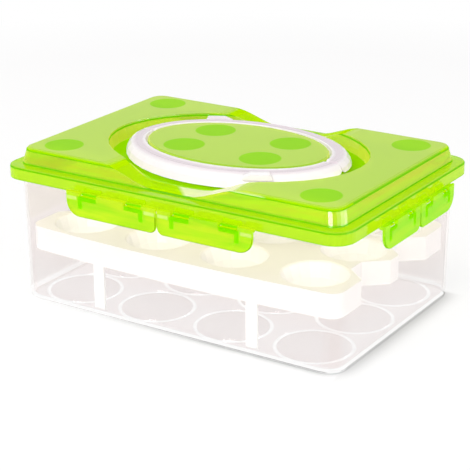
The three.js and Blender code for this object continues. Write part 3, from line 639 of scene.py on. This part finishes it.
def seen_ray(tree):
    """1 for rays that show the surround to the eye: straight, mirrored or refracted."""
    seen = out_of(tree, "LightPath", "Is Camera Ray") + out_of(tree, "LightPath", "Is Glossy Ray")
    return (seen + out_of(tree, "LightPath", "Is Transmission Ray")).clamped()


def past_corner(reach, half):
    """How far a point lies beyond the start of a rounded corner."""
    return larger(abs(reach) - (half - FOOT_CORNER), 0.0)


scene.view_settings.view_transform = "Standard"
scene.world = bpy.data.worlds.new("surround")
scene.world.use_nodes = True
tree = scene.world.node_tree
tree.nodes.clear()
height = out_of(tree, "SeparateXYZ", "Z", Vector=out_of(tree, "TexCoord", "Generated"))
strength = put(tree, "MapRange", Value=height, To_Min=SKY_SIDE, To_Max=SKY_TOP)
light = put(tree, "Background", Color=SKY_COLOUR, Strength=strength)
white = put(tree, "Background", Color=WHITE, Strength=1.0)
surround = put(tree, "MixShader", _0=seen_ray(tree), _1=light, _2=white)
tree.links.new(surround.outputs[0], tree.nodes.new("ShaderNodeOutputWorld").inputs[0])

pale_floor, tree = new_material("pale floor")
x, y = places(tree)[:2]
out_by = distance(past_corner(x, FOOT_HALF[0]), past_corner(y, FOOT_HALF[1]))
footprint = within(out_by, FOOTPRINT)
# On the front and right, the floor close beside the box's foot is painted grey and loses its glow where
# the box hides the sky: a painted contact shadow
beside = (1.0 - footprint) * within(y, NOOK_ALONG) * within(x, NOOK_ACROSS)
nook_reach = within(x, NOOK_RIGHT) * NOOK_REACH_MORE + NOOK_REACH
open_sky = put(tree, "AmbientOcclusion", {"samples": NOOK_SAMPLES}, Distance=nook_reach)
closed = 1.0 - Field(tree, open_sky.outputs["AO"])
nook = beside * (closed * NOOK_STRENGTH).clamped()
# Under the box's footprint the floor glows fully white, painted light that takes away the shade of the
# box above it
bright = (1.0 - nook) * (footprint * (1.0 - FLOOR_GLOW) + FLOOR_GLOW)
far_off = out_of(tree, "MapRange", Value=distance(x, y), From_Min=FLOOR_FADE_FROM, From_Max=FLOOR_FADE_TO)
bright = seen_ray(tree) * larger(bright, far_off)
paint = put(tree, "BsdfDiffuse", Color=layered(tree, FLOOR_PALE, [(nook, NOOK_SHADOW_GREY)]))
glow = put(tree, "Emission", Color=WHITE, Strength=1.0)
from_above = put(tree, "MixShader", _0=bright, _1=paint, _2=glow)
from_below = put(tree, "BsdfTransparent", Color=WHITE)
below = out_of(tree, "NewGeometry", "Backfacing")
shows(tree, put(tree, "MixShader", _0=below, _1=from_above, _2=from_below))

floor_mesh = bpy.data.meshes.new("floor")
floor_signs = [(-1, -1), (1, -1), (1, 1), (-1, 1)]
floor_corners = [(sign_x * FLOOR_HALF, sign_y * FLOOR_HALF, 0) for sign_x, sign_y in floor_signs]
floor_mesh.from_pydata(floor_corners, [], [(0, 1, 2, 3)])
floor_mesh.materials.append(pale_floor)
floor = bpy.data.objects.new("floor", floor_mesh)
floor.location.z = -FLOOR_DROP
scene.collection.objects.link(floor)

# Each lamp's name, width in metres, power in watts and place, and whether it lights the pieces
# or only shows as a glint on them
LAMPS = [
    ("key lamp", 1.2, 22.0, (-0.1, -1.4, 1.5), True),
    ("side lamp", 0.9, 8.0, (1.75, -0.35, 0.45), True),
    ("left glint", 0.3, 7.0, (0.31, -0.96, 0.31), False),
    ("right glint", 1.0, 30.0, (1.45, 0.75, 0.20), False),
]
for name, width, power, spot, lights_pieces in LAMPS:
    lamp = bpy.data.objects.new(name, bpy.data.lights.new(name, "AREA"))
    lamp.data.size = width
    lamp.data.energy = power
    lamp.location = spot
    lamp.visible_diffuse = lights_pieces
    lamp.rotation_euler = (-Vector(spot)).to_track_quat("-Z", "Y").to_euler()
    scene.collection.objects.link(lamp)

# Camera, at the photograph's view: from the front right and above, with a long lens. The focal
# length was fitted in the photograph's pixels, and is given as a share of its width.
CAMERA_AT = (0.52647, -0.82066, 0.40624)
CAMERA_AIM = (-0.0030, 0.00116, 0.04144)
CAMERA_ROLL = math.radians(-0.36)
FOCAL_PIXELS = 1531
WIDTH_PIXELS = 470
NEAREST = 0.01
FARTHEST = 20
camera = bpy.data.objects.new("camera", bpy.data.cameras.new("camera"))
camera.data.lens = camera.data.sensor_width * FOCAL_PIXELS / WIDTH_PIXELS
camera.data.clip_start = NEAREST
camera.data.clip_end = FARTHEST
camera.location = CAMERA_AT
look = (Vector(CAMERA_AIM) - Vector(CAMERA_AT)).to_track_quat("-Z", "Y")
camera.rotation_mode = "QUATERNION"
camera.rotation_quaternion = look @ Matrix.Rotation(CAMERA_ROLL, 4, "Z").to_quaternion()
scene.collection.objects.link(camera)
scene.camera = camera
